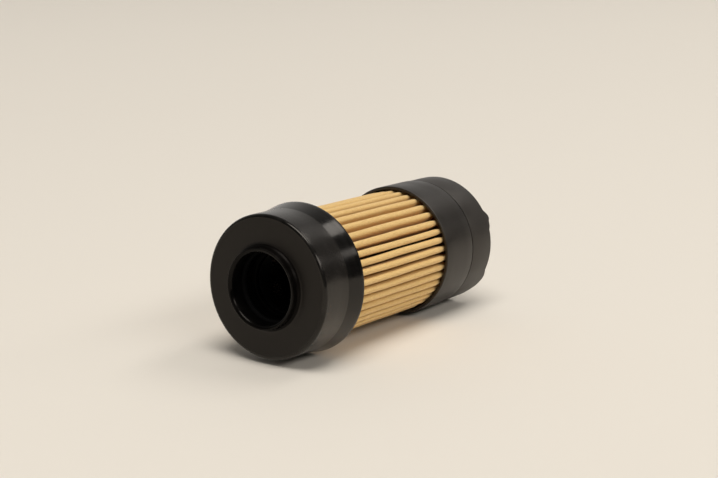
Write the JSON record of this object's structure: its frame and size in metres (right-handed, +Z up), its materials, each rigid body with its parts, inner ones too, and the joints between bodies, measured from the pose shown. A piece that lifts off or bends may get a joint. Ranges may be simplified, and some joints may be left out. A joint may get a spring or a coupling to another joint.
{
  "type": "fuel filter",
  "caption": "Cartridge fuel filter element: pleated paper between two black end caps, with a collared outlet bore at one end and a sprung bypass valve at the other.",
  "frame": {"origin": "under the middle of the element's length, level with the lowest point of the near cap, as the element lies on its side", "axes": "+X along the element's axis, from the open near cap towards the valve end; +Z up as the element lies on its side; +Y completes a right-handed set"},
  "size_m": [0.0994, 0.046, 0.046],
  "materials": {
    "black_plastic": "black moulded plastic, satin to semi-gloss, with fine turning lines on the flared band",
    "filter_paper": "resin-treated tan filter paper with fine fibre speckle, matt",
    "nitrile_rubber": "black nitrile, dull",
    "adhesive": "cured amber-brown bonding resin",
    "tinned_steel": "tinned steel sheet, satin",
    "spring_steel": "drawn spring wire and stamped spring steel",
    "brass": "turned brass, fine lathe lines",
    "natural_plastic": "natural acetal, off-white, waxy"
  },
  "bodies": {
    "element": {"near_end_cap": "black_plastic", "bore_seal_ring": "nitrile_rubber", "near_bond_ring": "adhesive", "pleated_media": "filter_paper", "media_seam_strip": "adhesive", "support_tube": "tinned_steel", "far_bond_ring": "adhesive", "far_end_cap": "black_plastic", "end_cover": "black_plastic", "cover_seal_ring": "nitrile_rubber", "valve_seat": "brass", "valve_cage": "black_plastic", "cage_retaining_ring": "spring_steel", "bypass_spring": "spring_steel"},
    "poppet": {"bypass_poppet": "natural_plastic", "poppet_seal": "nitrile_rubber", "seal_retainer": "spring_steel", "stem_clip": "spring_steel"}
  },
  "joints": [
    {"name": "bypass_poppet_slide", "type": "slide", "parent": "element", "child": "poppet", "axis": [-1, 0, 0], "range_m": [0, 0.005], "stiffness_N_per_m": 1500, "springref_m": -0.0045, "deforming": ["bypass_spring"]}
  ]
}
